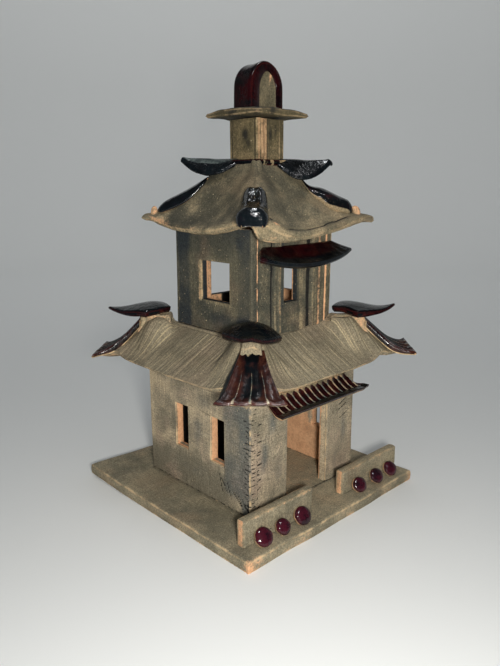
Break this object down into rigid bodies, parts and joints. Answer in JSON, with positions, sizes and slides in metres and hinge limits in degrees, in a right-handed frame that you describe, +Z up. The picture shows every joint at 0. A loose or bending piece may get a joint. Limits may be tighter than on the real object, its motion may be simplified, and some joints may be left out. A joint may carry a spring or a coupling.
{
  "type": "ceramic pagoda",
  "caption": "Hand-built slab-clay pagoda on a square base, with an open doorway, glazed hip ornaments, flared roofs, an arched finial and an upper section that lifts off.",
  "frame": {"origin": "middle of the underside of the square base slab, on the floor", "axes": "+Z up; -Y is the doorway side; -X is the wall with two slot windows to the left of the doorway"},
  "size_m": [0.2407, 0.2414, 0.38],
  "materials": {
    "stained_clay": "bare fired clay with a thin grey-olive oxide wash, worn to tan on the edges",
    "bare_clay": "unstained peach-coloured fired clay",
    "oxblood_glaze": "glossy dark red glaze breaking to clay on its ridges",
    "black_glaze": "glossy blue-black glaze with dark red edges"
  },
  "bodies": {
    "lower_section": {"base_slab": "stained_clay", "lower_left_wall": "stained_clay", "lower_right_wall": "stained_clay", "lower_back_wall": "stained_clay", "front_wall_left": "stained_clay", "front_wall_right": "stained_clay", "front_wall_header": "stained_clay", "garden_wall_left": "stained_clay", "garden_wall_right": "stained_clay", "garden_discs_left": "oxblood_glaze", "garden_discs_right": "oxblood_glaze", "lower_roof_front": "stained_clay", "lower_roof_right": "stained_clay", "lower_roof_back": "stained_clay", "lower_roof_left": "stained_clay", "deck": "bare_clay", "hip_lumps": "bare_clay", "fan_tiles": "oxblood_glaze", "hip_caps": "black_glaze", "door_awning": "oxblood_glaze"},
    "upper_section": {"upper_left_wall": "stained_clay", "upper_right_wall": "stained_clay", "upper_front_wall": "stained_clay", "upper_back_wall": "stained_clay", "window_awning": "oxblood_glaze", "upper_roof_front": "stained_clay", "upper_roof_right": "stained_clay", "upper_roof_back": "stained_clay", "upper_roof_left": "stained_clay", "hip_drops": "black_glaze", "collar_plate": "black_glaze", "collar_leaves": "black_glaze", "neck": "stained_clay", "cap_plate": "stained_clay", "finial": "oxblood_glaze", "finial_panel": "stained_clay"}
  },
  "joints": [
    {"name": "upper_section_lift", "type": "slide", "parent": "lower_section", "child": "upper_section", "axis": [0, 0, 1], "range_m": [0, 0.06]}
  ]
}
